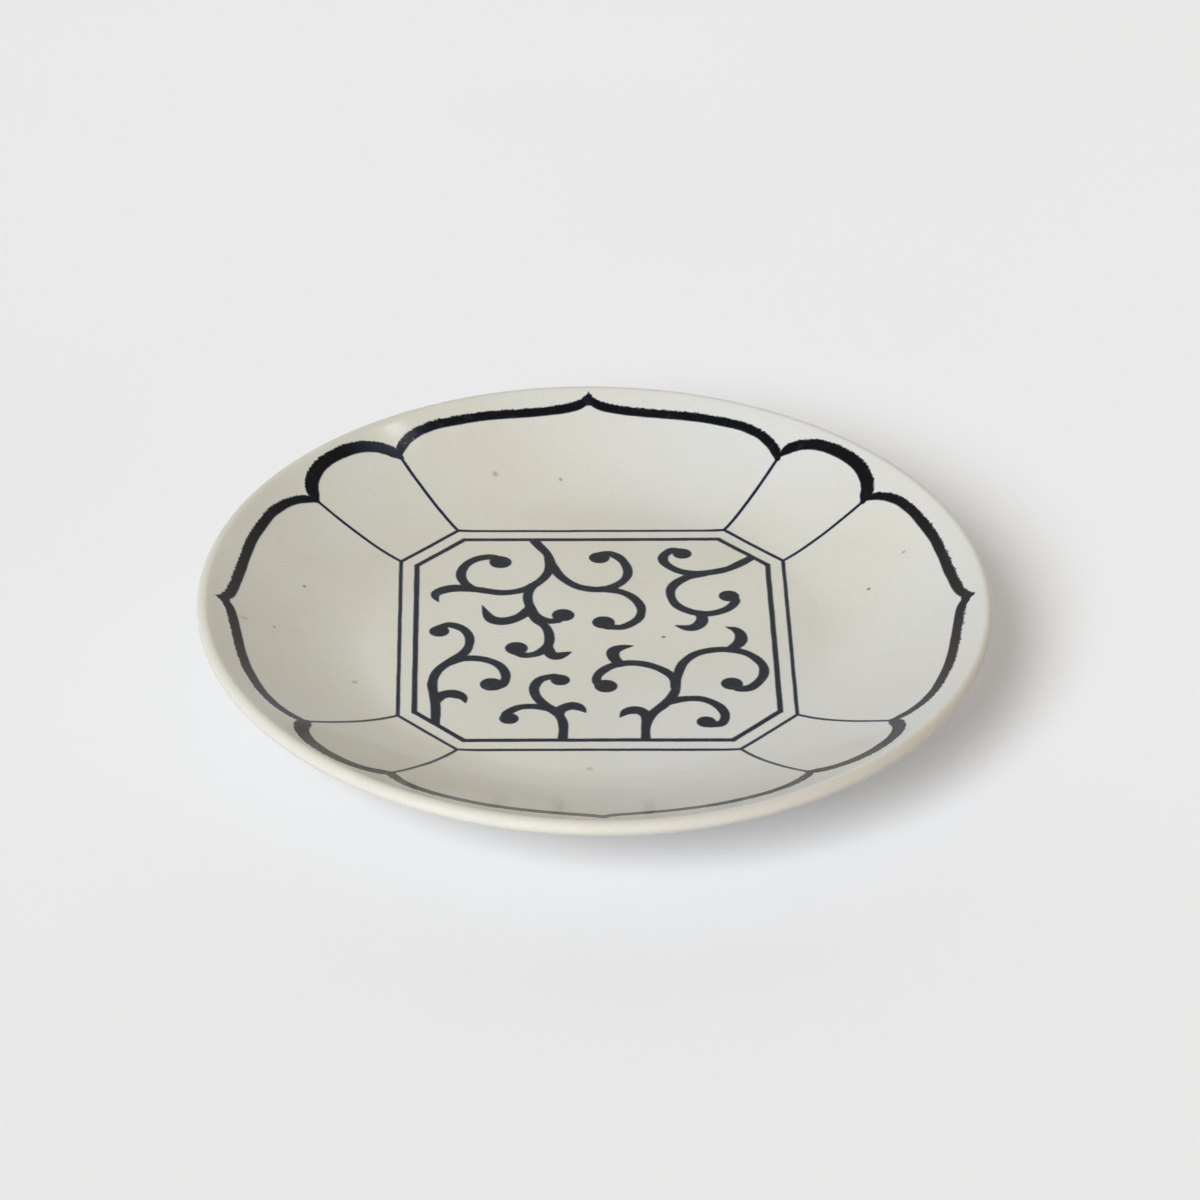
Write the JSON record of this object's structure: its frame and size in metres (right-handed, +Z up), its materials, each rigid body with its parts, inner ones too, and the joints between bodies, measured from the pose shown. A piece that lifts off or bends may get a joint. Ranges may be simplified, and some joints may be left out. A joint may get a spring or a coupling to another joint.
{
  "type": "plate",
  "caption": "Shallow round glazed ceramic plate on a foot ring, with a painted lobed border, a cut-corner double frame and vine scrolls; holds food on a table.",
  "frame": {"origin": "centre of the circle on which the foot ring's standing edge rests", "axes": "+Z up along the plate's axis, +Y towards the back of the painted panel, +X to its right"},
  "size_m": [0.15, 0.15, 0.0216],
  "materials": {
    "glaze": "clear glossy glaze over a warm grey-white body",
    "bare_clay": "unglazed fired clay, matt, on the standing edge",
    "border_ink": "near-black brushed pigment under glaze, glossy",
    "line_ink": "dark blue-grey brushed pigment under glaze, glossy"
  },
  "bodies": {
    "root": {"plate_body": "glaze", "foot_ring": "bare_clay", "border_bracket_back": "border_ink", "border_bracket_right": "border_ink", "border_bracket_front": "border_ink", "border_bracket_left": "border_ink", "border_lobe_back_right": "border_ink", "border_lobe_front_right": "border_ink", "border_lobe_front_left": "border_ink", "border_lobe_back_left": "border_ink", "frame_outer": "line_ink", "frame_inner": "line_ink", "panel_line_back_right_first": "line_ink", "panel_line_back_right_second": "line_ink", "panel_line_front_right_first": "line_ink", "panel_line_front_right_second": "line_ink", "panel_line_front_left_first": "line_ink", "panel_line_front_left_second": "line_ink", "panel_line_back_left_first": "line_ink", "panel_line_back_left_second": "line_ink", "vine_back_left": "line_ink", "vine_back_right": "line_ink", "vine_left": "line_ink", "vine_front": "line_ink", "vine_front_right": "line_ink"}
  },
  "joints": []
}
